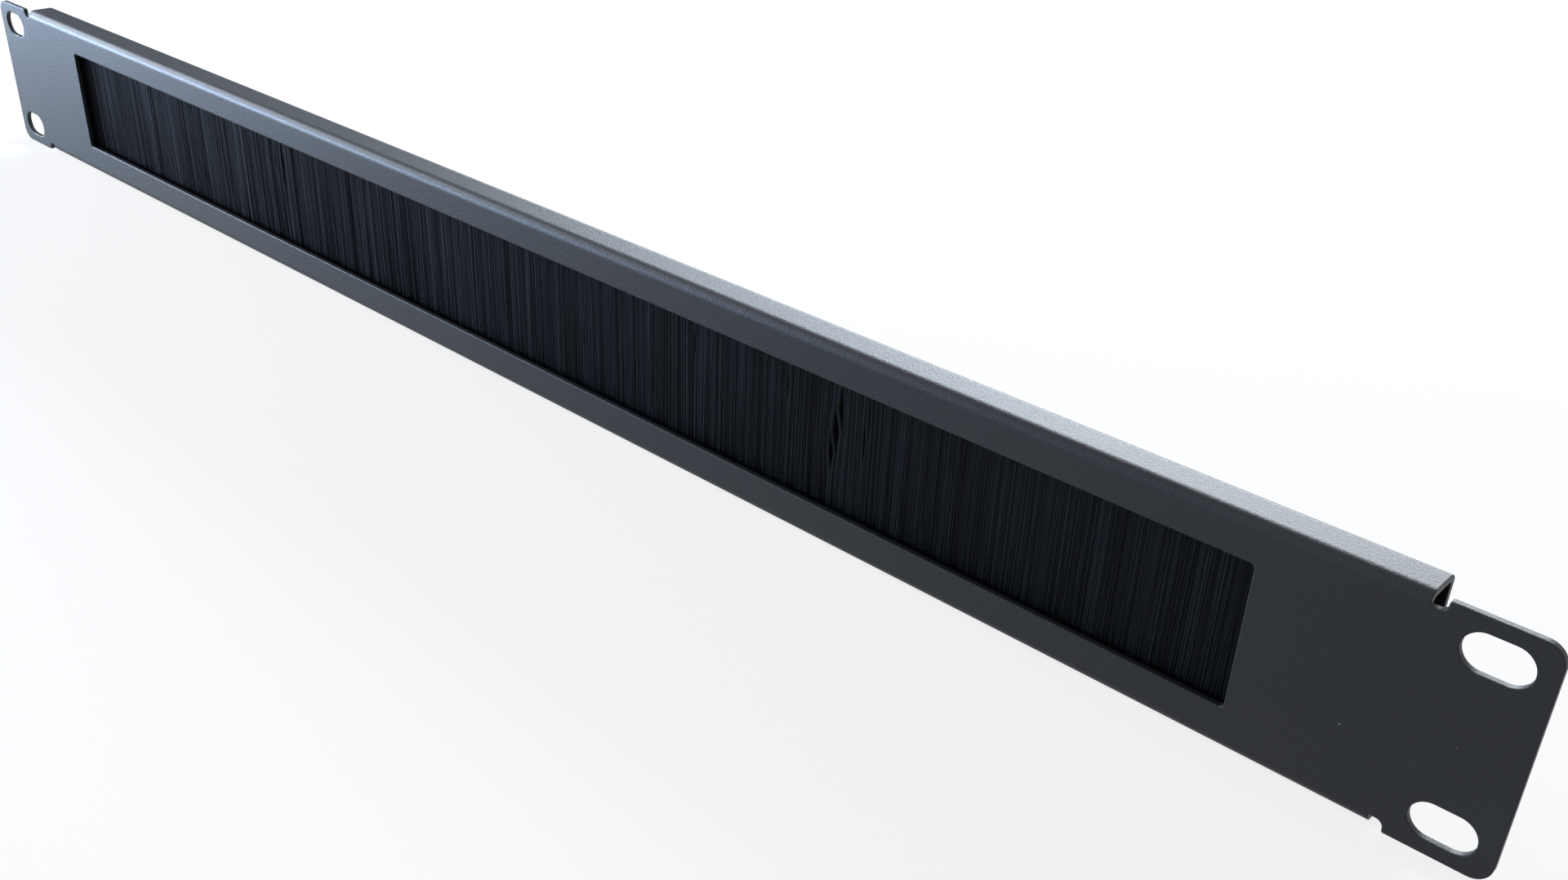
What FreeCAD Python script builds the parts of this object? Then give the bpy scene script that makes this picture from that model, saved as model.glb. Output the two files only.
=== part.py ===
"""Rack brush strip panel, one rack unit high, for a 19 inch rack.

One sheet of steel is cut with a long window and four slotted fixing holes, and its top and
bottom edges are folded back twice into open channels. A strip brush sits in the top channel:
a metal holder pinched over a core wire, with the bristles doubled over that wire and hanging
down across the window. Their tips end behind the lower band of the face.

Millimetres. X runs along the width, Y from front to rear and Z up. The origin is the centre
of the four fixing slots, on the rear face of the ears, which bears on the rack's uprights.
"""

import FreeCAD, Part
import math
import os

import Sketcher

DIMENSIONS = (
    ("panel_width", 482.6, "overall width across both ears"),
    ("panel_height", 44.0, "height of one rack unit less its clearance"),
    ("sheet_thickness", 1.2, "steel sheet"),
    ("bend_radius", 0.8, "inside radius of every bend"),
    ("ear_length", 19.7, "ear from its outer end to the end of the folds"),
    ("ear_corner_radius", 3.5, "rounded outer corners of the ears"),
    ("slot_from_end", 8.75, "slot's centre in from the ear's outer end"),
    ("slot_from_edge", 6.125, "slot's centre in from the upper or lower edge"),
    ("slot_length", 11.0, "fixing slot, end to end"),
    ("slot_width", 7.0, "fixing slot, side to side"),
    ("fold_depth", 8.8, "depth of the folded edges over their outer faces"),
    ("lip_height", 7.0, "height of the lip turned back behind each fold"),
    ("relief_width", 2.55, "notch between a fold's end and the ear"),
    ("relief_margin", 0.1, "how far the notch is cut past the bend"),
    ("relief_radius", 1.4, "rounded floor corner of the notch on the ear's side"),
    ("relief_lead", 0.4, "rounded mouth corner of the notch on the ear's side"),
    ("window_inset", 26.9, "window's end in from the end of the folds"),
    ("band_above", 7.5, "face left above the window"),
    ("band_below", 8.1, "face left below the window"),
    ("window_corner_radius", 1.0, "rounded corners of the window"),
    ("holder_width", 5.4, "brush holder over its side walls"),
    ("holder_height", 5.8, "brush holder from its back to its mouth"),
    ("holder_wall", 0.8, "metal of the brush holder"),
    ("holder_bend", 0.8, "inside radius of the holder's back corners"),
    ("holder_pinch", 2.1, "height over which the holder closes on the bristles"),
    ("brush_overlap", 8.0, "how far the brush reaches past each end of the window"),
    ("core_diameter", 1.6, "core wire that the bristles are doubled over"),
    ("core_inset", 1.0, "core wire's end short of the holder's end"),
    ("pack_clearance", 0.1, "room left round the doubled bristles"),
    ("pack_inset", 0.5, "bristles short of each end of the holder"),
    ("neck_thickness", 2.0, "bristles where they pass the holder's mouth"),
    ("curtain_thickness", 2.6, "bristles over the crests of their tufts"),
    ("tuft_pitch", 1.5, "one tuft to the next"),
    ("tuft_relief", 0.35, "groove between two tufts"),
    ("tip_gap", 2.8, "bristle tips above the inside of the lower fold"),
    ("parting_place", 106.2, "middle of the parting in the bristles"),
    ("parting_width", 1.6, "parting at its widest"),
    ("parting_depth", 0.9, "parting from the crests inwards"),
    ("parting_top", 13.0, "parting's upper end, above the middle of the face"),
    ("parting_drop", 18.0, "parting's length downwards"),
    ("parting_lean", 3.0, "parting's upper end beyond its lower end"),
    ("dimple_count", 5, "dimples that clamp the holder"),
    ("dimple_inset", 18.7, "first and last dimple in from the holder's ends"),
    ("dimple_radius", 2.0, "dimple on the lip's inner face"),
    ("dimple_wall", 0.9, "metal left round the dimple's dent"),
    ("dimple_drop", 4.2, "dimples below the top of the panel"),
)

TIED_DIMENSIONS = (
    ("slot_pitch_across", "panel_width - 2 * slot_from_end", "slots, centre to centre along the width"),
    ("slot_pitch_up", "panel_height - 2 * slot_from_edge", "slots, centre to centre along the height"),
    ("fold_span", "panel_width - 2 * ear_length", "length of the folded edges between the ears"),
    ("window_width", "fold_span - 2 * window_inset", "window along the width"),
    ("window_height", "panel_height - band_above - band_below", "window along the height"),
    ("window_rise", "(band_below - band_above) / 2", "window's centre above the middle of the face"),
    ("brush_length", "window_width + 2 * brush_overlap", "brush holder along the width"),
    ("dimple_span", "brush_length - 2 * dimple_inset", "first dimple to the last"),
    ("dimple_pitch", "dimple_span / (dimple_count - 1)", "one clamping dimple to the next"),
)

FACE_REAR = "0"
HALF_WIDTH = "(Sizes.panel_width / 2)"
HALF_HEIGHT = "(Sizes.panel_height / 2)"
FOLD_END = "(Sizes.fold_span / 2)"
FOLD_BACK = "(Sizes.fold_depth - Sizes.sheet_thickness)"
FOLD_UNDER = f"({HALF_HEIGHT} - Sizes.sheet_thickness)"
LIP_FRONT = f"({FOLD_BACK} - Sizes.sheet_thickness)"
LIP_END = f"({HALF_HEIGHT} - Sizes.lip_height)"
OUTSIDE_RADIUS = "(Sizes.bend_radius + Sizes.sheet_thickness)"
RELIEF_END = f"({FOLD_END} + Sizes.relief_width)"
RELIEF_FLOOR = f"({HALF_HEIGHT} - {OUTSIDE_RADIUS} - Sizes.relief_margin)"
WINDOW_END = "(Sizes.window_width / 2)"
HOLDER_MOUTH = f"({FOLD_UNDER} - Sizes.holder_height)"
HOLDER_SHOULDER = f"({HOLDER_MOUTH} + Sizes.holder_pinch)"
HOLDER_INSIDE = f"({FOLD_UNDER} - Sizes.holder_wall)"
HOLDER_END = "(Sizes.brush_length / 2)"
BRUSH_CENTRE = "(Sizes.holder_width / 2)"
HEAD_RADIUS = f"({BRUSH_CENTRE} - Sizes.holder_wall - Sizes.pack_clearance)"
CORE_HEIGHT = f"({HOLDER_INSIDE} - Sizes.pack_clearance - {HEAD_RADIUS})"
DIMPLE_PRESS = f"({LIP_FRONT} - Sizes.holder_width)"
DIMPLE_END = "(Sizes.dimple_span / 2)"

document = FreeCAD.newDocument("rack_brush_strip_panel")
sheet = document.addObject("Spreadsheet::Sheet", "Sizes")
for row, (alias, value, meaning) in enumerate(DIMENSIONS, start=1):
    sheet.set(f"A{row}", meaning)
    sheet.set(f"B{row}", str(value))
    sheet.setAlias(f"B{row}", alias)
document.recompute()
for row, (alias, formula, meaning) in enumerate(TIED_DIMENSIONS, start=len(DIMENSIONS) + 1):
    sheet.set(f"A{row}", meaning)
    sheet.set(f"B{row}", f"={formula}")
    sheet.setAlias(f"B{row}", alias)
    document.recompute()


def length_of(expression):
    """Work out an expression of the sheet's sizes."""
    return float(sheet.evalExpression(expression.replace("Sizes.", "")))


def size(alias):
    """Read one dimension from the sheet."""
    return float(sheet.get(alias))


def near(first, second):
    """Tell whether two lengths agree."""
    return abs(first - second) < 1e-4


def make_sketch(body, name, role, lift=None):
    """Attach a new sketch to an origin plane, lifted along its normal by an expression."""
    sketch = body.newObject("Sketcher::SketchObject", name)
    plane = next(item for item in body.Origin.OriginFeatures if item.Role == role)
    sketch.AttachmentSupport = [(plane, "")]
    sketch.MapMode = "FlatFace"
    if lift:
        sketch.setExpression("AttachmentOffset.Base.z", lift)
    return sketch


def drive(sketch, name, expression, kind, *references):
    """Add a constraint whose value follows an expression."""
    index = sketch.addConstraint(Sketcher.Constraint(kind, *references, length_of(expression)))
    sketch.renameConstraint(index, name)
    sketch.setExpression(f"Constraints.{name}", expression)


def hold_point(sketch, name, geometry, corner, across, up):
    """Hold a point of the sketch at a place given by two expressions."""
    drive(sketch, f"{name}_across", across, "DistanceX", -1, 1, geometry, corner)
    drive(sketch, f"{name}_up", up, "DistanceY", -1, 1, geometry, corner)


def draw_outline(sketch, name, places):
    """Draw a closed outline through places that are pairs of expressions."""
    first = sketch.GeometryCount
    corners = [FreeCAD.Vector(length_of(across), length_of(up), 0) for across, up in places]
    for index, corner in enumerate(corners):
        following = corners[(index + 1) % len(corners)]
        sketch.addGeometry(Part.LineSegment(corner, following), False)
    for index, (across, up) in enumerate(places):
        before = first + (index - 1) % len(places)
        sketch.addConstraint(Sketcher.Constraint("Coincident", before, 2, first + index, 1))
        hold_point(sketch, f"{name}_{index}", first + index, 1, across, up)


def draw_rectangle(sketch, name, left, bottom, right, top):
    """Draw an upright rectangle between four expressions."""
    draw_outline(sketch, name, ((left, bottom), (right, bottom), (right, top), (left, top)))


def draw_circle(sketch, name, across, up, radius):
    """Draw a circle about a centre given by two expressions."""
    circle = Part.Circle(FreeCAD.Vector(0, 0, 0), FreeCAD.Vector(0, 0, 1), 1)
    index = sketch.addGeometry(circle, False)
    drive(sketch, f"{name}_radius", radius, "Radius", index)
    hold_point(sketch, name, index, 3, across, up)


def draw_slot(sketch, name, across, up):
    """Draw a fixing slot with round ends about a centre given by two expressions."""
    middle = FreeCAD.Vector(length_of(across), length_of(up), 0)
    radius = size("slot_width") / 2
    half_run = "((Sizes.slot_length - Sizes.slot_width) / 2)"
    reach = FreeCAD.Vector(length_of(half_run), 0, 0)
    rise = FreeCAD.Vector(0, radius, 0)
    normal = FreeCAD.Vector(0, 0, 1)
    quarter = math.pi / 2
    left = sketch.GeometryCount
    low, right, high = left + 1, left + 2, left + 3
    left_circle = Part.Circle(middle - reach, normal, radius)
    right_circle = Part.Circle(middle + reach, normal, radius)
    sketch.addGeometry(Part.ArcOfCircle(left_circle, quarter, 3 * quarter), False)
    sketch.addGeometry(Part.LineSegment(middle - reach - rise, middle + reach - rise), False)
    sketch.addGeometry(Part.ArcOfCircle(right_circle, -quarter, quarter), False)
    sketch.addGeometry(Part.LineSegment(middle + reach + rise, middle - reach + rise), False)
    for first, second in ((left, low), (low, right), (right, high), (high, left)):
        sketch.addConstraint(Sketcher.Constraint("Tangent", first, 2, second, 1))
    sketch.addConstraint(Sketcher.Constraint("Equal", left, right))
    drive(sketch, f"{name}_radius", "Sizes.slot_width / 2", "Radius", left)
    hold_point(sketch, f"{name}_left", left, 3, f"{across} - {half_run}", up)
    hold_point(sketch, f"{name}_right", right, 3, f"{across} + {half_run}", up)


def add_pad(body, sketch, name, length, symmetric=False):
    """Pad a sketch along its normal, or evenly to both sides."""
    pad = body.newObject("PartDesign::Pad", name)
    pad.Profile = sketch
    pad.setExpression("Length", length)
    if symmetric:
        pad.SideType = "Symmetric"
    document.recompute()
    return pad


def add_pocket(body, sketch, name, length):
    """Cut a sketch into the body along its normal, and check that it took metal away."""
    before = body.Shape.Volume
    pocket = body.newObject("PartDesign::Pocket", name)
    pocket.Profile = sketch
    pocket.setExpression("Length", length)
    pocket.Reversed = True
    document.recompute()
    if body.Shape.Volume >= before:
        raise ValueError(f"{name} cuts nothing")
    return pocket


def add_fillet(body, name, radius, wanted, count):
    """Round the wanted straight edges, and check how many were found."""
    base = body.Tip
    names = []
    for index, edge in enumerate(base.Shape.Edges, start=1):
        if not isinstance(edge.Curve, Part.Line):
            continue
        if wanted(edge.CenterOfMass, edge.tangentAt(edge.FirstParameter)):
            names.append(f"Edge{index}")
    if len(names) != count:
        raise ValueError(f"{name} found {len(names)} edges, not {count}")
    fillet = body.newObject("PartDesign::Fillet", name)
    fillet.Base = (base, names)
    fillet.setExpression("Radius", radius)
    document.recompute()


def corners_at(across, up):
    """Want the edges through the sheet at a distance to both sides, above and below."""
    side, level = length_of(across), length_of(up)

    def wanted(middle, direction):
        through = near(abs(direction.y), 1)
        return through and near(abs(middle.x), side) and near(abs(middle.z), level)
    return wanted


def bends_at(depth, up):
    """Want the edges along the width at a depth, above and below."""
    place, level = length_of(depth), length_of(up)

    def wanted(middle, direction):
        along = near(abs(direction.x), 1) and near(middle.x, 0)
        return along and near(middle.y, place) and near(abs(middle.z), level)
    return wanted


def make_front_panel():
    """Make the folded sheet: face, ears, slots, window, folds, lips and dimples."""
    body = document.addObject("PartDesign::Body", "front_panel")
    thickness = "Sizes.sheet_thickness"

    face = make_sketch(body, "face_outline", "XZ_Plane")
    draw_rectangle(face, "face", f"-{HALF_WIDTH}", f"-{HALF_HEIGHT}", HALF_WIDTH, HALF_HEIGHT)
    add_pad(body, face, "face_plate", thickness)
    add_fillet(body, "ear_corners", "Sizes.ear_corner_radius", corners_at(HALF_WIDTH, HALF_HEIGHT), 4)

    relief = make_sketch(body, "relief_outlines", "XZ_Plane")
    for side, left, right in (("right", FOLD_END, RELIEF_END), ("left", f"-{RELIEF_END}", f"-{FOLD_END}")):
        draw_rectangle(relief, f"upper_{side}", left, RELIEF_FLOOR, right, HALF_HEIGHT)
        draw_rectangle(relief, f"lower_{side}", left, f"-{HALF_HEIGHT}", right, f"-{RELIEF_FLOOR}")
    add_pocket(body, relief, "reliefs", thickness)
    add_fillet(body, "relief_floors", "Sizes.relief_radius", corners_at(RELIEF_END, RELIEF_FLOOR), 4)
    add_fillet(body, "relief_mouths", "Sizes.relief_lead", corners_at(RELIEF_END, HALF_HEIGHT), 4)

    window = make_sketch(body, "window_outline", "XZ_Plane")
    sill, head = (f"Sizes.window_rise {sign} Sizes.window_height / 2" for sign in "-+")
    draw_rectangle(window, "window", f"-{WINDOW_END}", sill, WINDOW_END, head)
    add_pocket(body, window, "window", thickness)
    side = length_of(WINDOW_END)
    add_fillet(body, "window_corners", "Sizes.window_corner_radius",
               lambda middle, direction: near(abs(direction.y), 1) and near(abs(middle.x), side), 4)

    slots = make_sketch(body, "slot_outlines", "XZ_Plane")
    across, up = "(Sizes.slot_pitch_across / 2)", "(Sizes.slot_pitch_up / 2)"
    draw_slot(slots, "right_high", across, up)
    draw_slot(slots, "right_low", across, f"-{up}")
    draw_slot(slots, "left_high", f"-{across}", up)
    draw_slot(slots, "left_low", f"-{across}", f"-{up}")
    add_pocket(body, slots, "slots", thickness)

    folds = make_sketch(body, "fold_sections", "YZ_Plane")
    section = (
        (f"-{thickness}", HALF_HEIGHT),
        (f"-{thickness}", FOLD_UNDER),
        (LIP_FRONT, FOLD_UNDER),
        (LIP_FRONT, LIP_END),
        (FOLD_BACK, LIP_END),
        (FOLD_BACK, HALF_HEIGHT),
    )
    draw_outline(folds, "upper", section)
    draw_outline(folds, "lower", tuple((depth, f"-{height}") for depth, height in section))
    add_pad(body, folds, "folds", "Sizes.fold_span", symmetric=True)
    add_fillet(body, "front_bends_inside", "Sizes.bend_radius", bends_at(FACE_REAR, FOLD_UNDER), 2)
    add_fillet(body, "rear_bends_inside", "Sizes.bend_radius", bends_at(LIP_FRONT, FOLD_UNDER), 2)
    add_fillet(body, "front_bends_outside", OUTSIDE_RADIUS, bends_at(f"-{thickness}", HALF_HEIGHT), 2)
    add_fillet(body, "rear_bends_outside", OUTSIDE_RADIUS, bends_at(FOLD_BACK, HALF_HEIGHT), 2)
    add_dimples(body)
    return body


def add_dimples(body):
    """Press a row of flat dimples forward from the upper lip onto the brush holder."""
    height = f"{HALF_HEIGHT} - Sizes.dimple_drop"
    boss = make_sketch(body, "dimple_boss", "XZ_Plane", f"-{LIP_FRONT}")
    draw_circle(boss, "boss", f"-{DIMPLE_END}", height, "Sizes.dimple_radius")
    boss_pad = add_pad(body, boss, "dimple_bosses", DIMPLE_PRESS)
    dent = make_sketch(body, "dimple_dent", "XZ_Plane", f"-{FOLD_BACK}")
    draw_circle(dent, "dent", f"-{DIMPLE_END}", height, "Sizes.dimple_radius - Sizes.dimple_wall")
    dent_cut = add_pocket(body, dent, "dimple_dents", DIMPLE_PRESS)
    pattern = body.newObject("PartDesign::LinearPattern", "dimple_row")
    pattern.Originals = [boss_pad, dent_cut]
    pattern.Direction = (boss, ["H_Axis"])
    pattern.Mode = "Spacing"
    pattern.setExpression("Offset", "Sizes.dimple_pitch")
    pattern.setExpression("Occurrences", "Sizes.dimple_count")
    body.Tip = pattern
    document.recompute()


def make_brush_holder():
    """Make the channel that pinches the bristles, with its mouth downwards."""
    body = document.addObject("PartDesign::Body", "brush_holder")
    section = make_sketch(body, "holder_section", "YZ_Plane")
    wall = "Sizes.holder_wall"
    width = "Sizes.holder_width"
    gap = "(Sizes.neck_thickness / 2 + Sizes.pack_clearance)"
    places = (
        (FACE_REAR, HOLDER_SHOULDER),
        (FACE_REAR, FOLD_UNDER),
        (width, FOLD_UNDER),
        (width, HOLDER_SHOULDER),
        (f"{BRUSH_CENTRE} + {gap} + {wall}", HOLDER_MOUTH),
        (f"{BRUSH_CENTRE} + {gap}", HOLDER_MOUTH),
        (f"{width} - {wall}", HOLDER_SHOULDER),
        (f"{width} - {wall}", HOLDER_INSIDE),
        (wall, HOLDER_INSIDE),
        (wall, HOLDER_SHOULDER),
        (f"{BRUSH_CENTRE} - {gap}", HOLDER_MOUTH),
        (f"{BRUSH_CENTRE} - {gap} - {wall}", HOLDER_MOUTH),
    )
    draw_outline(section, "wall", places)
    add_pad(body, section, "holder_walls", "Sizes.brush_length", symmetric=True)
    inside, back = length_of(HOLDER_INSIDE), length_of(FOLD_UNDER)
    add_fillet(body, "back_corners_inside", "Sizes.holder_bend",
               lambda middle, direction: near(abs(direction.x), 1) and near(middle.z, inside), 2)
    add_fillet(body, "back_corners_outside", f"Sizes.holder_bend + {wall}",
               lambda middle, direction: near(abs(direction.x), 1) and near(middle.z, back), 2)
    return body


def make_core_wire():
    """Make the wire that holds the doubled bristles in the holder."""
    wire = document.addObject("Part::Cylinder", "core_wire")
    lying = FreeCAD.Rotation(FreeCAD.Vector(0, 1, 0), 90)
    wire.Placement = FreeCAD.Placement(FreeCAD.Vector(), lying)
    wire.setExpression("Radius", "Sizes.core_diameter / 2")
    wire.setExpression("Height", "Sizes.brush_length - 2 * Sizes.core_inset")
    wire.setExpression("Placement.Base.x", f"-({HOLDER_END} - Sizes.core_inset)")
    wire.setExpression("Placement.Base.y", BRUSH_CENTRE)
    wire.setExpression("Placement.Base.z", CORE_HEIGHT)
    return wire


def make_prism(places, run):
    """Sweep a closed outline in a straight run."""
    return Part.Face(Part.makePolygon([*places, places[0]])).extrude(run)


def tuft_outline(half_length, centre, level):
    """Trace the bristles seen from above: a row of tufts with a groove between each two."""
    count = max(1, round(2 * half_length / size("tuft_pitch")))
    pitch = 2 * half_length / count
    crest = size("curtain_thickness") / 2
    groove = crest - size("tuft_relief")
    front = []
    for index in range(count):
        left = index * pitch - half_length
        front.append(FreeCAD.Vector(left, centre - groove, level))
        front.append(FreeCAD.Vector(left + pitch / 2, centre - crest, level))
    front.append(FreeCAD.Vector(half_length, centre - groove, level))
    rear = [FreeCAD.Vector(place.x, 2 * centre - place.y, level) for place in reversed(front)]
    return front + rear


def make_parting(centre):
    """Make the wedge of air where the bristles stand apart."""
    drop = size("parting_drop")
    middle = FreeCAD.Vector(size("parting_place"), centre - size("curtain_thickness"),
                            size("parting_top") - drop / 2)
    end = FreeCAD.Vector(size("parting_lean") / 2, 0, drop / 2)
    half_width = FreeCAD.Vector(size("parting_width") / 2, 0, 0)
    reach = FreeCAD.Vector(0, size("curtain_thickness") / 2 + size("parting_depth"), 0)
    return make_prism((middle + end, middle + half_width, middle - end, middle - half_width), reach)


def make_bristle_curtain():
    """Make the bristles: doubled over the core wire, pinched in the mouth, hanging in tufts."""
    clearance = size("pack_clearance")
    mouth = length_of(HOLDER_MOUTH) - clearance
    tips = size("tip_gap") - length_of(FOLD_UNDER)
    centre = length_of(BRUSH_CENTRE)
    half_length = length_of(HOLDER_END) - size("pack_inset")
    start = FreeCAD.Vector(-half_length, centre, length_of(CORE_HEIGHT))
    along = FreeCAD.Vector(1, 0, 0)

    hanging = make_prism(tuft_outline(half_length, centre, tips), FreeCAD.Vector(0, 0, mouth - tips))
    half_neck = FreeCAD.Vector(0, size("neck_thickness") / 2, 0)
    drop = FreeCAD.Vector(0, 0, mouth - start.z)
    neck_places = (start - half_neck, start + half_neck, start + half_neck + drop, start - half_neck + drop)
    neck = make_prism(neck_places, along * (2 * half_length))
    head = Part.makeCylinder(length_of(HEAD_RADIUS), 2 * half_length, start, along)
    bore = Part.makeCylinder(size("core_diameter") / 2 + clearance, 2 * half_length, start, along)

    curtain = document.addObject("Part::Feature", "bristle_curtain")
    curtain.Shape = hanging.fuse([neck, head]).cut([bore, make_parting(centre)]).removeSplitter()
    curtain.Placement = FreeCAD.Placement()
    return curtain


def export_parts(parts):
    """Check every object, then write each part to its own file."""
    document.recompute()
    for item in document.Objects:
        if "Invalid" in item.State or "Error" in item.State:
            raise ValueError(f"{item.Name} is {item.State}")
    for part in parts:
        if part.Shape.isNull() or not part.Shape.isValid():
            raise ValueError(f"{part.Label} has no valid shape")
    os.makedirs("parts", exist_ok=True)
    for part in parts:
        part.Shape.exportStep(os.path.join("parts", f"{part.Label}.step"))
        bounds = part.Shape.BoundBox
        print(part.Label, len(part.Shape.Solids), "solid", round(part.Shape.Volume, 2), "mm3",
              [round(side, 3) for side in (bounds.XLength, bounds.YLength, bounds.ZLength)])


export_parts([make_front_panel(), make_brush_holder(), make_core_wire(), make_bristle_curtain()])
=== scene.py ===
"""Looks of the rack brush strip panel: its finishes, its bristles, the studio and the camera.

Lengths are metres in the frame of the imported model: X along the width, Y from front to rear,
Z up, with the origin at the centre of the fixing slots on the rear face of the ears.
"""
import logging
import math
import random
from dataclasses import dataclass, field
from enum import Enum

import bpy
from mathutils import Matrix, Vector


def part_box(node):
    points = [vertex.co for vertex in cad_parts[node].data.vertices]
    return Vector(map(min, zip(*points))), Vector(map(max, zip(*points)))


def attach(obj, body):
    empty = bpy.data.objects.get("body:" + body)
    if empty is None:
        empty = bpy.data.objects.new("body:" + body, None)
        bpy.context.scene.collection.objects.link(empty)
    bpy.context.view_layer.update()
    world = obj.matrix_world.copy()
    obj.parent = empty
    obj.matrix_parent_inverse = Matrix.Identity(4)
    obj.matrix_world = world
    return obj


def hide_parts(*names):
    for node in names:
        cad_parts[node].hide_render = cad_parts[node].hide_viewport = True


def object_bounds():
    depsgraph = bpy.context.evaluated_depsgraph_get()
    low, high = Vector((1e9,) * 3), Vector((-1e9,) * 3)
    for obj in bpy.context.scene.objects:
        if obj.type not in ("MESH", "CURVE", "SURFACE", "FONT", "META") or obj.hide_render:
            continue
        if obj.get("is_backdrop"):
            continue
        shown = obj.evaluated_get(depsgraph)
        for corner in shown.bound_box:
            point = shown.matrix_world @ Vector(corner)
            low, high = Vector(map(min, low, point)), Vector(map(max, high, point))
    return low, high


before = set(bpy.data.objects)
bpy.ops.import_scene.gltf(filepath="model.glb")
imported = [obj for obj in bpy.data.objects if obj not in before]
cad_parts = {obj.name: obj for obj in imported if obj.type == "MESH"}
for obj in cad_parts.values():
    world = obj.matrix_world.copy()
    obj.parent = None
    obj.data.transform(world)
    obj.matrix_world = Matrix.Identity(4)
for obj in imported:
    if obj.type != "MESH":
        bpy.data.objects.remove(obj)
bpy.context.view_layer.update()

MM = 0.001
LOG = logging.getLogger("brush_panel")
WHITE = (1.0, 1.0, 1.0, 1.0)
BLACK = (0.0, 0.0, 0.0, 1.0)
# A Mix node has several sockets of the same name, so those for colours go by number.
MIX_FIRST, MIX_SECOND, MIX_RESULT = 6, 7, 2

Point = tuple[float, float, float]
Colour = tuple[float, float, float, float]
Span = tuple[float, float]
Stop = tuple[float, Colour]
Face = tuple[int, ...]


class Side(Enum):
    """The two faces of the bristle pack."""

    FRONT = -1
    REAR = 1


def deselect_all() -> None:
    """Clear the selection that loading the frame leaves behind."""
    bpy.ops.object.select_all(action="DESELECT")


@dataclass
class Nodes:
    """A short hand for building one node tree.

    Attributes:
        owner: the material or world that the tree belongs to.
    """

    owner: bpy.types.Material | bpy.types.World

    def __post_init__(self) -> None:
        """Start with an empty tree."""
        self.owner.use_nodes = True
        self.owner.node_tree.nodes.clear()

    @classmethod
    def material(cls, name: str) -> "Nodes":
        """Start a new material.

        Args:
            name: the material's name.

        Returns:
            Its nodes.
        """
        return cls(bpy.data.materials.new(name))

    def add(self, kind: str, **values: object) -> bpy.types.Node:
        """Add a node.

        Args:
            kind: the node's type, without its ShaderNode prefix.
            values: attributes of the node, or values of its input sockets.

        Returns:
            The new node.
        """
        node = self.owner.node_tree.nodes.new("ShaderNode" + kind)
        for key, value in values.items():
            if hasattr(node, key):
                setattr(node, key, value)
            else:
                node.inputs[key.replace("_", " ")].default_value = value
        return node

    def join(self, source: bpy.types.Node, output: str | int,
             target: bpy.types.Node, entry: str | int) -> None:
        """Link an output of one node to an input of another.

        Args:
            source: the node that gives the value.
            output: the name or number of its output.
            target: the node that takes the value.
            entry: the name or number of its input.
        """
        self.owner.node_tree.links.new(source.outputs[output], target.inputs[entry])

    def noise(self, scale: Point, detail: float) -> bpy.types.Node:
        """Add a noise pattern on object coordinates.

        Args:
            scale: the pattern's repeats per metre along X, Y and Z.
            detail: octaves of finer pattern.

        Returns:
            The noise node.
        """
        place = self.add("TexCoord")
        mapping = self.add("Mapping", Scale=scale)
        noise = self.add("TexNoise", Scale=1.0, Detail=detail, Roughness=0.5)
        self.join(place, "Object", mapping, "Vector")
        self.join(mapping, "Vector", noise, "Vector")
        return noise

    def ramp(self, source: bpy.types.Node, low: Stop, high: Stop) -> bpy.types.Node:
        """Turn a node's factor into a colour between two stops.

        Args:
            source: the node that gives the factor.
            low: the factor and colour of the first stop.
            high: the factor and colour of the second stop.

        Returns:
            The ramp node.
        """
        ramp = self.add("ValToRGB")
        for element, (position, colour) in zip(ramp.color_ramp.elements, (low, high)):
            element.position = position
            element.color = colour
        self.join(source, "Fac", ramp, "Fac")
        return ramp

    def spread(self, source: bpy.types.Node, output: str, low: float,
               high: float) -> bpy.types.Node:
        """Stretch a factor between two values.

        Args:
            source: the node that gives a factor between 0 and 1.
            output: the name of its output.
            low: the value at 0.
            high: the value at 1.

        Returns:
            The map range node.
        """
        spread = self.add("MapRange", To_Min=low, To_Max=high)
        self.join(source, output, spread, "Value")
        return spread

    def greater(self, first: bpy.types.Node, first_output: str,
                second: bpy.types.Node, second_output: str) -> bpy.types.Node:
        """Add the greater of two values.

        Args:
            first: the node that gives the first value.
            first_output: the name of its output.
            second: the node that gives the second value.
            second_output: the name of its output.

        Returns:
            The maths node.
        """
        greater = self.add("Math", operation="MAXIMUM")
        self.join(first, first_output, greater, 0)
        self.join(second, second_output, greater, 1)
        return greater

    def seen_ray(self) -> bpy.types.Node:
        """Add a factor that is 1 where the camera looks, also by way of metal or glass.

        Returns:
            The maths node that gives it.
        """
        path = self.add("LightPath")
        mirror = self.greater(path, "Is Glossy Ray", path, "Is Transmission Ray")
        return self.greater(path, "Is Camera Ray", mirror, "Value")

    def finish(self, shader: bpy.types.Node,
               output: str = "BSDF") -> bpy.types.Material | bpy.types.World:
        """Close the tree with its surface.

        Args:
            shader: the last shader.
            output: the name of its output.

        Returns:
            The finished material or world.
        """
        world = isinstance(self.owner, bpy.types.World)
        end = self.add("OutputWorld" if world else "OutputMaterial")
        self.join(shader, output, end, "Surface")
        return self.owner


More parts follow.
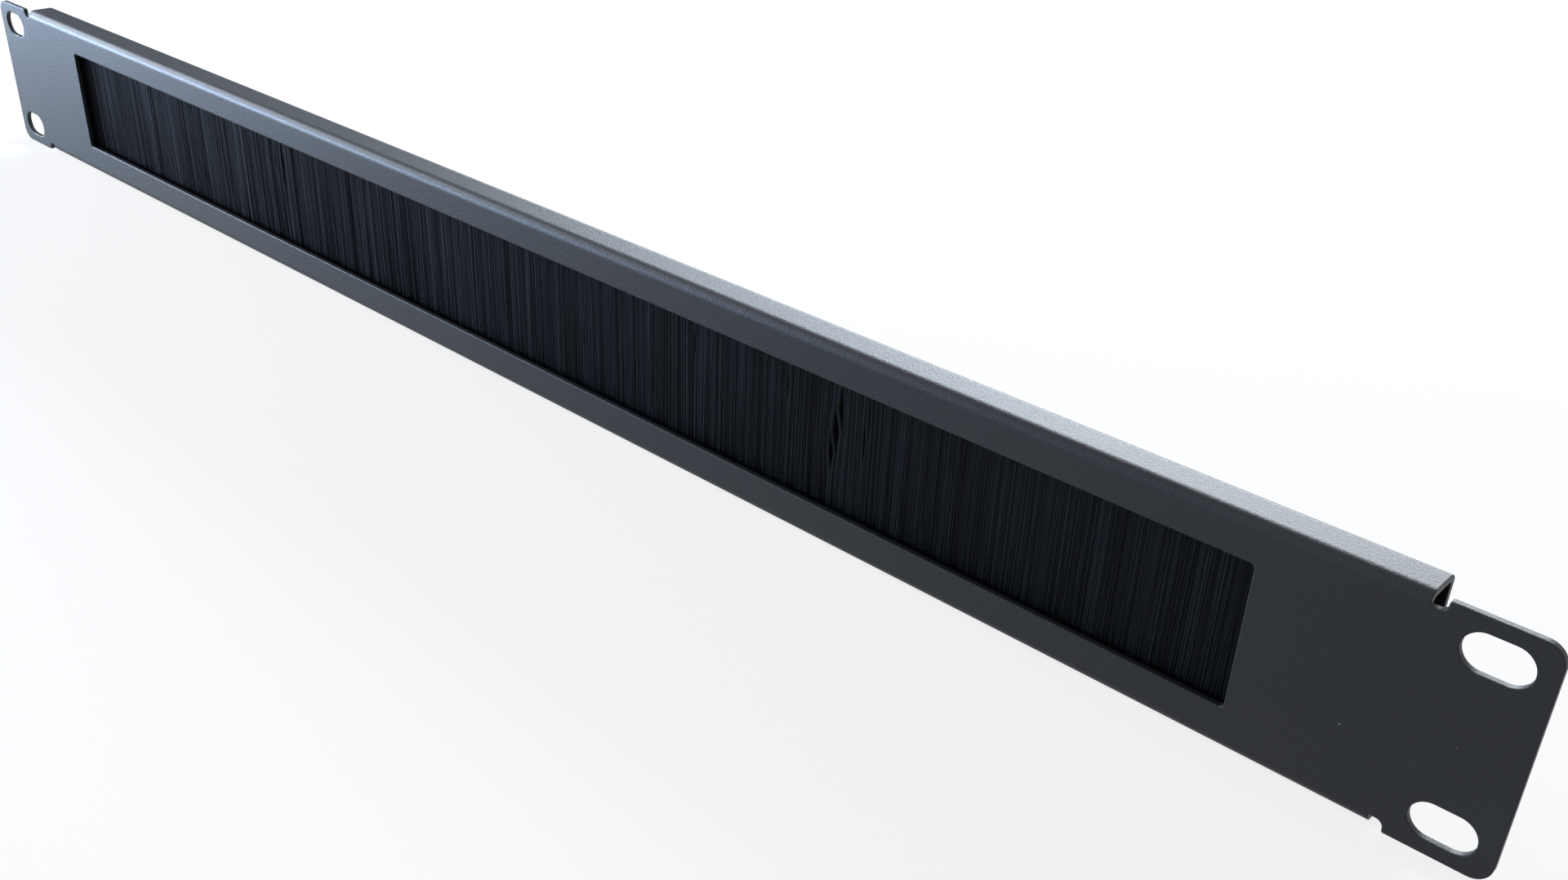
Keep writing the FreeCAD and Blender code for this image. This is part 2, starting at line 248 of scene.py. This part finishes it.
@dataclass(frozen=True)
class PowderCoat:
    """Satin black powder coat: fine orange peel, faint grain and a few pale specks of dust.

    Attributes:
        base: colour of most of the coat.
        worn: colour of its paler clouds.
        dust: colour of the specks.
        reflectance: refractive index, which sets how much the coat reflects.
        roughness: lowest and highest roughness.
        peel_pitch: size of the orange peel.
        grain_pitch: size of the grain.
        grain_share: height of the grain as a share of the peel's.
        peel_height: height of the peel.
        edge_radius: how far the sheet's edges look rounded.
        edge_samples: rays that find those edges.
        clouds: repeats of the clouds per metre.
        cloud_stops: noise values of the base and of the worn colour.
        specks: repeats per metre of the noise that the specks are cut from.
        speck_stops: noise values over which a speck begins.
    """

    base: Colour = (0.0044, 0.0056, 0.0080, 1.0)
    worn: Colour = (0.0060, 0.0074, 0.0104, 1.0)
    dust: Colour = (0.3, 0.3, 0.31, 1.0)
    reflectance: float = 1.38
    roughness: Span = (0.44, 0.54)
    peel_pitch: float = 0.55 * MM
    grain_pitch: float = 0.2 * MM
    grain_share: float = 0.45
    peel_height: float = 0.058 * MM
    edge_radius: float = 0.5 * MM
    edge_samples: int = 6
    clouds: Point = (22.0, 22.0, 40.0)
    cloud_stops: Span = (0.35, 0.75)
    specks: Point = (1500.0, 1500.0, 1500.0)
    speck_stops: Span = (0.905, 0.915)

    def build(self) -> bpy.types.Material:
        """Return the material."""
        nodes = Nodes.material("powder_coat")
        peel = nodes.noise((1 / self.peel_pitch,) * 3, detail=2.0)
        grain = nodes.noise((1 / self.grain_pitch,) * 3, detail=1.0)
        cloud = nodes.noise(self.clouds, detail=3.0)
        specks = nodes.noise(self.specks, detail=0.0)
        base_at, worn_at = self.cloud_stops
        clear_at, dust_at = self.speck_stops
        tint = nodes.ramp(cloud, (base_at, self.base), (worn_at, self.worn))
        speck = nodes.ramp(specks, (clear_at, BLACK), (dust_at, WHITE))
        colour = nodes.add("Mix", data_type="RGBA")
        nodes.join(speck, "Color", colour, "Factor")
        nodes.join(tint, "Color", colour, MIX_FIRST)
        colour.inputs[MIX_SECOND].default_value = self.dust
        rough = nodes.spread(grain, "Fac", *self.roughness)
        heights = nodes.add("Math", operation="MULTIPLY_ADD")
        nodes.join(grain, "Fac", heights, 0)
        heights.inputs[1].default_value = self.grain_share
        nodes.join(peel, "Fac", heights, 2)
        edge = nodes.add("Bevel", samples=self.edge_samples, Radius=self.edge_radius)
        bump = nodes.add("Bump", Strength=1.0, Distance=self.peel_height)
        nodes.join(heights, "Value", bump, "Height")
        nodes.join(edge, "Normal", bump, "Normal")
        shader = nodes.add("BsdfPrincipled", IOR=self.reflectance)
        nodes.join(colour, MIX_RESULT, shader, "Base Color")
        nodes.join(rough, "Result", shader, "Roughness")
        nodes.join(bump, "Normal", shader, "Normal")
        return nodes.finish(shader)


@dataclass(frozen=True)
class ZincSteel:
    """Bright zinc on the holder or the core wire, with lengthwise drawing lines.

    Attributes:
        name: the material's name.
        base: colour of most of the zinc.
        dull: colour of its duller spangles.
        roughness: lowest and highest roughness.
        lines: repeats of the drawing lines per metre.
        line_height: height of the lines.
        line_strength: strength of the lines' relief.
        spangles: repeats of the spangles per metre.
        spangle_stops: noise values of the dull and of the base colour.
    """

    name: str
    base: Colour = (0.55, 0.57, 0.6, 1.0)
    dull: Colour = (0.36, 0.38, 0.41, 1.0)
    roughness: Span = (0.28, 0.48)
    lines: Point = (30.0, 5200.0, 5200.0)
    line_height: float = 0.004 * MM
    line_strength: float = 0.6
    spangles: Point = (180.0, 180.0, 180.0)
    spangle_stops: Span = (0.3, 0.7)

    def build(self) -> bpy.types.Material:
        """Return the material."""
        nodes = Nodes.material(self.name)
        lines = nodes.noise(self.lines, detail=3.0)
        spangle = nodes.noise(self.spangles, detail=2.0)
        dull_at, base_at = self.spangle_stops
        tint = nodes.ramp(spangle, (dull_at, self.dull), (base_at, self.base))
        rough = nodes.spread(lines, "Fac", *self.roughness)
        bump = nodes.add("Bump", Strength=self.line_strength, Distance=self.line_height)
        nodes.join(lines, "Fac", bump, "Height")
        shader = nodes.add("BsdfPrincipled", Metallic=1.0)
        nodes.join(tint, "Color", shader, "Base Color")
        nodes.join(rough, "Result", shader, "Roughness")
        nodes.join(bump, "Normal", shader, "Normal")
        return nodes.finish(shader)


@dataclass(frozen=True)
class BristleNylon:
    """Black nylon filament, each one a little lighter or darker by its tone attribute.

    Attributes:
        deep: colour at tone 0.
        pale: colour at tone 1.
        reflectance: refractive index, which sets how much the nylon reflects.
        roughness: lowest and highest roughness.
        patches: repeats of the rougher patches per metre.
    """

    deep: Colour = (0.0070, 0.0078, 0.0100, 1.0)
    pale: Colour = (0.0100, 0.0114, 0.0146, 1.0)
    reflectance: float = 1.17
    roughness: Span = (0.5, 0.66)
    patches: Point = (900.0, 900.0, 60.0)

    def build(self) -> bpy.types.Material:
        """Return the material."""
        nodes = Nodes.material("bristle_nylon")
        tone = nodes.add("Attribute", attribute_name="tone")
        patches = nodes.noise(self.patches, detail=2.0)
        tint = nodes.ramp(tone, (0.0, self.deep), (1.0, self.pale))
        rough = nodes.spread(patches, "Fac", *self.roughness)
        shader = nodes.add("BsdfPrincipled", IOR=self.reflectance)
        nodes.join(tint, "Color", shader, "Base Color")
        nodes.join(rough, "Result", shader, "Roughness")
        return nodes.finish(shader)


@dataclass(frozen=True)
class StudioWhite:
    """A surface that the camera and mirror-like surfaces see as white, with soft shadows.

    Attributes:
        glow: the part of its white that no shadow darkens.
        paper: its colour where it throws light back at the object.
        seen_paper: its colour where it is looked at, on top of the glow.
    """

    glow: float = 0.80
    paper: Colour = (0.8, 0.8, 0.8, 1.0)
    seen_paper: Colour = (0.14, 0.14, 0.14, 1.0)

    def build(self) -> bpy.types.Material:
        """Return the material."""
        nodes = Nodes.material("studio_white")
        plain = nodes.add("BsdfDiffuse", Color=self.paper)
        faint = nodes.add("BsdfDiffuse", Color=self.seen_paper)
        glow = nodes.add("Emission", Color=WHITE, Strength=self.glow)
        shown = nodes.add("AddShader")
        nodes.join(faint, "BSDF", shown, 0)
        nodes.join(glow, "Emission", shown, 1)
        choice = nodes.add("MixShader")
        nodes.join(nodes.seen_ray(), "Value", choice, "Fac")
        nodes.join(plain, "BSDF", choice, 1)
        nodes.join(shown, "Shader", choice, 2)
        return nodes.finish(choice, "Shader")


def dress_node(node: str, material: bpy.types.Material) -> None:
    """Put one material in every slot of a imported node.

    Args:
        node: the node's name.
        material: its finish.
    """
    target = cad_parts[node]
    if not target.material_slots:
        target.data.materials.append(material)
    for slot in target.material_slots:
        slot.material = material
    LOG.info("%s dressed in %s", node, material.name)


@dataclass(frozen=True)
class FoldedPanel:
    """The folded sheet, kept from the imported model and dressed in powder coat."""

    node: str = "front_panel"
    coat: PowderCoat = PowderCoat()

    def dress(self) -> None:
        """Give the sheet its finish."""
        dress_node(self.node, self.coat.build())


@dataclass(frozen=True)
class BrushHolder:
    """The metal holder and its core wire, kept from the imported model."""

    holder: str = "brush_holder"
    wire: str = "core_wire"
    holder_zinc: ZincSteel = ZincSteel("holder_zinc")
    wire_zinc: ZincSteel = ZincSteel("wire_zinc", base=(0.5, 0.5, 0.51, 1.0))

    def dress(self) -> None:
        """Give the holder and the wire their zinc finishes."""
        dress_node(self.holder, self.holder_zinc.build())
        dress_node(self.wire, self.wire_zinc.build())


@dataclass(frozen=True)
class Parting:
    """A place where the bristles stand apart, as a line down the face of the strip.

    Attributes:
        top: X and Z of its upper end.
        bottom: X and Z of its lower end.
        width: how wide it opens in its middle.
        reach: how far from it the bristles are still pushed aside.
    """

    top: Span
    bottom: Span
    width: float
    reach: float = 2.6 * MM

    @classmethod
    def in_mm(cls, top: Span, bottom: Span, width: float) -> "Parting":
        """Return a parting from sizes in millimetres.

        Args:
            top: X and Z of its upper end.
            bottom: X and Z of its lower end.
            width: how wide it opens in its middle.

        Returns:
            The parting.
        """
        return cls((top[0] * MM, top[1] * MM), (bottom[0] * MM, bottom[1] * MM), width * MM)

    def push(self, x: float, z: float) -> float:
        """Return how far a point of a bristle is pushed sideways.

        Args:
            x: the point's place along the width.
            z: the point's height.

        Returns:
            The push along X.
        """
        share = (self.top[1] - z) / (self.top[1] - self.bottom[1])
        if share <= 0 or share >= 1:
            return 0.0
        away = x - (self.top[0] + share * (self.bottom[0] - self.top[0]))
        opening = self.width / 2 * math.sin(math.pi * share)
        return math.copysign(opening * math.exp(-abs(away) / self.reach), away)


@dataclass(frozen=True)
class Tuft:
    """A tuft of bristles that lean together.

    Attributes:
        middle: its place along the width.
        lean: how far its tips stand to one side.
        bow: how far its tips stand to the front or the rear.
        pull: how much its bristles close up towards its middle.
        tone: how light its bristles are.
    """

    middle: float
    lean: float
    bow: float
    pull: float
    tone: float

    @staticmethod
    def at(tufts: list["Tuft"], x: float) -> "Tuft":
        """Return the tuft nearest to a place along the width."""
        return min(tufts, key=lambda tuft: abs(tuft.middle - x))


@dataclass(frozen=True)
class TuftRow:
    """How the tufts along the strip differ from each other.

    Attributes:
        widths: narrowest and widest tuft, in millimetres.
        carry: share of a tuft's lean that the next one keeps.
        lean_spread: how much the lean changes from one tuft to the next.
        bow_spread: how much the bow differs.
        pulls: least and greatest pull.
        tones: darkest and lightest tone.
    """

    widths: Span = (1.2, 4.5)
    carry: float = 0.8
    lean_spread: float = 0.08 * MM
    bow_spread: float = 0.015 * MM
    pulls: Span = (0.0, 0.05)
    tones: Span = (0.38, 0.52)

    def draw(self, start: float, end: float, draws: random.Random) -> list[Tuft]:
        """Draw a row of tufts.

        Args:
            start: where the row begins.
            end: where it ends.
            draws: the random draws.

        Returns:
            The tufts in order.
        """
        tufts = []
        place = start
        lean = 0.0
        while place < end:
            width = draws.uniform(*self.widths) * MM
            lean = self.carry * lean + draws.gauss(0.0, self.lean_spread)
            bow = draws.gauss(0.0, self.bow_spread)
            pull = draws.uniform(*self.pulls)
            tufts.append(Tuft(place + width / 2, lean, bow, pull, draws.uniform(*self.tones)))
            place += width
        return tufts


@dataclass(frozen=True)
class Filament:
    """One straight filament that hangs from the origin, the pattern for all the others.

    Attributes:
        corners: its corners.
        faces: its faces, as numbers of corners.
        length: its whole length.
    """

    corners: list[Vector]
    faces: list[Face]
    length: float


@dataclass
class Bundle:
    """The filaments that share one mesh.

    Attributes:
        corners: the corners of all its filaments.
        faces: their faces, as numbers of corners.
        tones: how light each corner is.
    """

    corners: list[Point] = field(default_factory=list)
    faces: list[Face] = field(default_factory=list)
    tones: list[float] = field(default_factory=list)

    def add(self, corners: list[Point], faces: list[Face], tone: float) -> None:
        """Add one filament.

        Args:
            corners: its corners.
            faces: its faces, as numbers of its own corners.
            tone: how light it is.
        """
        first = len(self.corners)
        self.corners += corners
        self.faces += [tuple(first + index for index in face) for face in faces]
        self.tones += [tone] * len(corners)

    def piece(self, name: str, material: bpy.types.Material) -> bpy.types.Object:
        """Make one object of the bundle.

        Args:
            name: the object's name.
            material: the finish.

        Returns:
            The object.
        """
        mesh = bpy.data.meshes.new(name)
        mesh.from_pydata(self.corners, [], self.faces)
        mesh.attributes.new("tone", "FLOAT", "POINT").data.foreach_set("value", self.tones)
        mesh.shade_smooth()
        mesh.materials.append(material)
        piece = bpy.data.objects.new(name, mesh)
        bpy.context.scene.collection.objects.link(piece)
        return piece


@dataclass(frozen=True)
class BristleStrip:
    """Thousands of nylon filaments, doubled over the core wire and hanging across the window.

    Attributes:
        node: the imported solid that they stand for.
        filament_radius: half the thickness of one filament.
        filament_sides: sides of one filament.
        spans: straight stretches along one filament.
        spacing: mean distance between neighbours in one layer.
        layers: depths of the layers from the middle of the pack, front and rear alike.
        pieces: how many meshes the filaments are shared among.
        seed: start of the random draws.
        drop: how far below the top of the strip the filaments begin.
        end_gap: clearance kept at both ends of the strip.
        jitter: where a filament may stand between two steps along the strip.
        depth_spread: how much the depth differs within a layer.
        tone_spread: how much the tone differs within a tuft.
        lean_spread: how much the lean differs within a tuft.
        bow_spread: how much the bow differs within a tuft.
        curl_spread: how much the curl differs.
        curl_angle: the angle that a curl runs through down the filament.
        trims: how much a filament is cut short or left long, as a share of its length.
        lean_power: how late the lean sets in.
        pull_power: how late the pull towards the tuft's middle sets in.
        loop_sides: sides of the loops' full round.
        wire_gap: clearance between the loops and the core wire.
        smooth_angle: edges of the loops that are flatter than this look round.
        partings: the places where the front bristles stand apart.
    """

    node: str = "bristle_curtain"
    filament_radius: float = 0.085 * MM
    filament_sides: int = 3
    spans: int = 7
    spacing: float = 0.125 * MM
    layers: tuple[float, ...] = (0.35 * MM, 0.68 * MM, 0.92 * MM)
    pieces: int = 6
    seed: int = 1907
    drop: float = 1.8 * MM
    end_gap: float = 0.1 * MM
    jitter: Span = (0.25, 0.75)
    depth_spread: float = 0.02 * MM
    tone_spread: float = 0.09
    lean_spread: float = 0.09 * MM
    bow_spread: float = 0.03 * MM
    curl_spread: float = 0.06 * MM
    curl_angle: float = 5.0
    trims: Span = (-0.012, 0.004)
    lean_power: float = 1.6
    pull_power: float = 1.3
    loop_sides: int = 32
    wire_gap: float = 0.1 * MM
    smooth_angle: float = math.radians(40)
    partings: tuple[Parting, ...] = (
        Parting.in_mm((108.1, 14.6), (103.6, -9.0), 1.6),
        Parting.in_mm((114.5, 12.0), (112.0, -2.0), 0.5),
        Parting.in_mm((93.6, 14.5), (92.4, 3.0), 0.5),
        Parting.in_mm((67.5, 14.5), (66.4, 5.0), 0.7),
        Parting.in_mm((-12.5, 14.0), (-13.2, 4.0), 0.5),
        Parting.in_mm((-87.4, 14.4), (-88.8, -3.0), 1.0),
        Parting.in_mm((-90.8, 14.0), (-91.8, 2.0), 0.6),
    )

    def model_filament(self, length: float) -> Filament:
        """Model one straight filament hanging down from the origin.

        Args:
            length: its whole length.

        Returns:
            The filament, closed at both ends.
        """
        deselect_all()
        bpy.ops.mesh.primitive_circle_add(
            vertices=self.filament_sides, radius=self.filament_radius, fill_type="NGON"
        )
        ring = bpy.context.object
        bpy.ops.object.mode_set(mode="EDIT")
        bpy.ops.mesh.select_all(action="SELECT")
        for _ in range(self.spans):
            bpy.ops.mesh.extrude_region_move(
                TRANSFORM_OT_translate={"value": (0.0, 0.0, -length / self.spans)}
            )
        bpy.ops.mesh.select_all(action="SELECT")
        bpy.ops.mesh.normals_make_consistent(inside=False)
        bpy.ops.object.mode_set(mode="OBJECT")
        corners = [vertex.co.copy() for vertex in ring.data.vertices]
        faces = [tuple(face.vertices) for face in ring.data.polygons]
        bpy.data.objects.remove(ring)
        return Filament(corners, faces, length)

    def bent(self, pattern: Filament, place: Vector, tuft: Tuft,
             partings: tuple[Parting, ...], draws: random.Random) -> list[Point]:
        """Bend one filament to its own lean and curl.

        Args:
            pattern: the straight filament.
            place: the upper end of the bent one.
            tuft: the tuft that it belongs to.
            partings: the partings that push it aside.
            draws: the random draws.

        Returns:
            The corners of the bent filament.
        """
        turn = draws.uniform(0.0, math.tau)
        lean = draws.gauss(tuft.lean, self.lean_spread)
        bow = draws.gauss(0.0, self.bow_spread)
        curl = draws.gauss(0.0, self.curl_spread)
        phase = draws.uniform(0.0, math.tau)
        trim = 1.0 + draws.uniform(*self.trims)
        cosine, sine = math.cos(turn), math.sin(turn)
        corners = []
        for point in pattern.corners:
            share = -point.z / pattern.length
            x = place.x + lean * share ** self.lean_power
            x += curl * math.sin(phase + self.curl_angle * share) * share
            x += (tuft.middle - place.x) * tuft.pull * share ** self.pull_power
            y = place.y + (bow + tuft.bow) * share
            z = place.z + point.z * trim
            for parting in partings:
                x += parting.push(x, z)
            turned_x = x + cosine * point.x - sine * point.y
            turned_y = y + sine * point.x + cosine * point.y
            corners.append((turned_x, turned_y, z))
        return corners

    def build(self) -> list[bpy.types.Object]:
        """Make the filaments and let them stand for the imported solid.

        Returns:
            The pieces.
        """
        low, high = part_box(self.node)
        pattern = self.model_filament(high.z - self.drop - low.z)
        material = BristleNylon().build()
        draws = random.Random(self.seed)
        tufts = TuftRow().draw(low.x, high.x, draws)
        steps = int((high.x - low.x) / self.spacing)
        share = math.ceil(steps / self.pieces)
        made = []
        for number in range(self.pieces):
            bundle = Bundle()
            for step in range(number * share, min(steps, (number + 1) * share)):
                self.fill_step(bundle, step, (low, high), pattern, tufts, draws)
            made.append(bundle.piece(f"bristles_{number + 1}", material))
        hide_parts(self.node)
        made.append(self.model_loops(material))
        for piece in made:
            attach(piece, "root")
            LOG.info("%s: %d faces", piece.name, len(piece.data.polygons))
        return made

    def fill_step(self, bundle: Bundle, step: int, room: tuple[Vector, Vector],
                  pattern: Filament, tufts: list[Tuft], draws: random.Random) -> None:
        """Add the filaments of every layer at one step along the strip.

        Args:
            bundle: the filaments so far.
            step: the number of the step.
            room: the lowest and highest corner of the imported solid.
            pattern: the straight filament.
            tufts: the tufts along the strip.
            draws: the random draws.
        """
        low, high = room
        middle = (low.y + high.y) / 2
        margin = self.filament_radius + self.end_gap
        for side in Side:
            partings = self.partings if side is Side.FRONT else ()
            for depth in self.layers:
                x = low.x + (step + draws.uniform(*self.jitter)) * self.spacing
                x = min(max(x, low.x + margin), high.x - margin)
                y = middle + side.value * draws.gauss(depth, self.depth_spread)
                tuft = Tuft.at(tufts, x)
                place = Vector((x, y, high.z - self.drop))
                corners = self.bent(pattern, place, tuft, partings, draws)
                tone = min(1.0, max(0.0, draws.gauss(tuft.tone, self.tone_spread)))
                bundle.add(corners, pattern.faces, tone)

    def model_loops(self, material: bpy.types.Material) -> bpy.types.Object:
        """Model the bristles where they turn over the core wire, inside the holder.

        Args:
            material: the finish.

        Returns:
            The loops as one half tube.
        """
        low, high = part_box(self.node)
        wire_low, wire_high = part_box("core_wire")
        radius = (high.y - low.y) / 2
        hollow = (wire_high.z - wire_low.z) / 2 + self.wire_gap
        centre = Vector(((low.x + high.x) / 2, (low.y + high.y) / 2, high.z - radius))
        deselect_all()
        bpy.ops.mesh.primitive_cylinder_add(
            vertices=self.loop_sides, radius=radius, depth=high.x - low.x,
            end_fill_type="NOTHING", location=centre, rotation=(0.0, math.pi / 2, 0.0)
        )
        loops = bpy.context.object
        loops.name = "bristle_loops"
        bpy.ops.object.transform_apply(location=True, rotation=True, scale=True)
        bpy.ops.object.mode_set(mode="EDIT")
        bpy.ops.mesh.select_all(action="SELECT")
        bpy.ops.mesh.bisect(plane_co=centre, plane_no=(0.0, 0.0, 1.0), clear_inner=True)
        bpy.ops.object.mode_set(mode="OBJECT")
        wall = loops.modifiers.new("wall", "SOLIDIFY")
        wall.thickness = radius - hollow
        wall.offset = -1.0
        bpy.ops.object.modifier_apply(modifier="wall")
        loops.data.shade_smooth()
        bpy.ops.object.shade_smooth_by_angle(angle=self.smooth_angle)
        loops.data.attributes.new("tone", "FLOAT", "POINT")
        loops.data.materials.append(material)
        return loops


@dataclass(frozen=True)
class SoftBox:
    """One rectangular studio lamp that isn't seen itself.

    Attributes:
        name: the lamp's name.
        place: where it stands.
        target: the point that it faces.
        size: its width and height.
        power: its power in watts.
        colour: the colour of its light.
    """

    name: str
    place: Point
    target: Point
    size: Span
    power: float
    colour: Point

    def light(self) -> None:
        """Set the lamp up, facing its target."""
        data = bpy.data.lights.new(self.name, "AREA")
        data.shape = "RECTANGLE"
        data.size, data.size_y = self.size
        data.energy = self.power
        data.color = self.colour
        lamp = bpy.data.objects.new(self.name, data)
        lamp.location = self.place
        facing = Vector(self.target) - Vector(self.place)
        lamp.rotation_euler = facing.to_track_quat("-Z", "Y").to_euler()
        lamp.visible_camera = False
        bpy.context.scene.collection.objects.link(lamp)


@dataclass(frozen=True)
class DarkCard:
    """A dark studio card that shows only in reflections.

    Attributes:
        name: the card's name.
        place: where it stands.
        target: the point that it faces.
        size: its width and height.
        shade: its colour.
    """

    name: str
    place: Point
    target: Point
    size: Span
    shade: Colour = (0.02, 0.02, 0.022, 1.0)

    def stand(self) -> None:
        """Stand the card up, facing its target."""
        deselect_all()
        bpy.ops.mesh.primitive_plane_add(size=1.0)
        card = bpy.context.object
        card.name = self.name
        facing = Vector(self.target) - Vector(self.place)
        turn = facing.to_track_quat("Z", "Y").to_matrix().to_4x4()
        shape = Matrix.Diagonal((*self.size, 1.0, 1.0))
        card.data.transform(Matrix.Translation(Vector(self.place)) @ turn @ shape)
        nodes = Nodes.material(self.name)
        card.data.materials.append(nodes.finish(nodes.add("BsdfDiffuse", Color=self.shade)))
        card.visible_camera = False
        card.visible_diffuse = False
        card.visible_shadow = False
        card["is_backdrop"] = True


@dataclass(frozen=True)
class Studio:
    """A white floor, a white surround, soft lamps and a dark card.

    Attributes:
        floor_size: length of the floor's sides.
        surround: how bright the world is to the object.
        cards: the dark cards.
        lamps: the lamps.
    """

    floor_size: float = 14.0
    surround: float = 0.35
    cards: tuple[DarkCard, ...] = (
        DarkCard("left_card", (-1.26, 0.46, 0.36), (-0.15, 0.0, 0.0), (1.0, 0.9)),
    )
    lamps: tuple[SoftBox, ...] = (
        SoftBox("rear_window", place=(-0.22, 1.25, 0.60), target=(0.15, 0.0, 0.0),
                size=(0.8, 0.36), power=27.0, colour=(0.86, 0.93, 1.0)),
        SoftBox("rear_left", place=(-0.85, 1.05, 0.55), target=(0.0, 0.0, 0.0),
                size=(0.8, 0.36), power=15.5, colour=(0.76, 0.88, 1.0)),
        SoftBox("left_window", place=(-1.65, -0.20, 0.72), target=(-0.1, 0.0, 0.0),
                size=(0.7, 0.7), power=14.0, colour=(0.74, 0.84, 1.0)),
        SoftBox("side_window", place=(-0.95, -0.18, 0.38), target=(-0.2, 0.0, 0.0),
                size=(0.3, 0.36), power=5.0, colour=(0.80, 0.88, 1.0)),
        SoftBox("low_window", place=(-1.30, -0.50, 0.09), target=(-0.2, 0.0, 0.0),
                size=(0.8, 0.16), power=6.0, colour=(0.34, 0.60, 1.0)),
        SoftBox("close_window", place=(-0.72, -0.32, 0.05), target=(-0.2, 0.0, 0.0),
                size=(0.34, 0.10), power=8.6, colour=(0.58, 0.74, 1.0)),
    )

    def build(self) -> None:
        """Lay the floor, set the surround and light the lamps."""
        deselect_all()
        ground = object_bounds()[0][2]
        bpy.ops.mesh.primitive_plane_add(size=self.floor_size, location=(0.0, 0.0, ground))
        floor = bpy.context.object
        floor.name = "floor"
        floor.data.materials.append(StudioWhite().build())
        floor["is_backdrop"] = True
        self.build_surround()
        for card in self.cards:
            card.stand()
        for lamp in self.lamps:
            lamp.light()
        LOG.info("studio with %d lamps", len(self.lamps))

    def build_surround(self) -> None:
        """Make the world white where the camera looks, and plain to everything else."""
        world = bpy.data.worlds.new("surround")
        nodes = Nodes(world)
        level = nodes.spread(nodes.seen_ray(), "Value", self.surround, 1.0)
        background = nodes.add("Background", Color=WHITE)
        nodes.join(level, "Result", background, "Strength")
        nodes.finish(background, "Background")
        bpy.context.scene.world = world


@dataclass(frozen=True)
class Viewpoint:
    """The camera, where the photograph was taken from.

    Attributes:
        place: the lens.
        look: the direction that it faces.
        right: the direction of the picture's right side.
        focal: the focal length in pixels of the picture.
        width: the picture's width in pixels.
        centre: how far the lens axis lies right of and below the picture's middle, in pixels.
        sensor: the sensor's width in millimetres.
        nearest: how near to the lens things still show.
    """

    place: Point = (0.2753, -0.20482, 0.14398)
    look: Point = (-0.56631, 0.65587, -0.49913)
    right: Point = (0.73989, 0.67137, 0.04272)
    focal: float = 1903.6
    width: float = 1920.0
    centre: Span = (18.3, 55.0)
    sensor: float = 36.0
    nearest: float = 0.01

    def build(self) -> None:
        """Set the camera up and make it the scene's."""
        data = bpy.data.cameras.new("camera")
        data.sensor_fit = "HORIZONTAL"
        data.sensor_width = self.sensor
        data.lens = self.focal / self.width * self.sensor
        data.shift_x = -self.centre[0] / self.width
        data.shift_y = self.centre[1] / self.width
        data.clip_start = self.nearest
        data.dof.use_dof = False
        look = Vector(self.look).normalized()
        right = (Vector(self.right) - look * Vector(self.right).dot(look)).normalized()
        axes = Matrix((right, right.cross(look), -look)).transposed().to_4x4()
        camera = bpy.data.objects.new("camera", data)
        camera.matrix_world = Matrix.Translation(Vector(self.place)) @ axes
        bpy.context.scene.collection.objects.link(camera)
        bpy.context.scene.camera = camera


def main() -> None:
    """Build and dress the whole object."""
    logging.basicConfig(level=logging.INFO, format="%(message)s")
    bpy.context.scene.view_settings.view_transform = "Standard"
    Viewpoint().build()
    Studio().build()
    FoldedPanel().dress()
    BrushHolder().dress()
    BristleStrip().build()


if __name__ == "__main__":
    main()
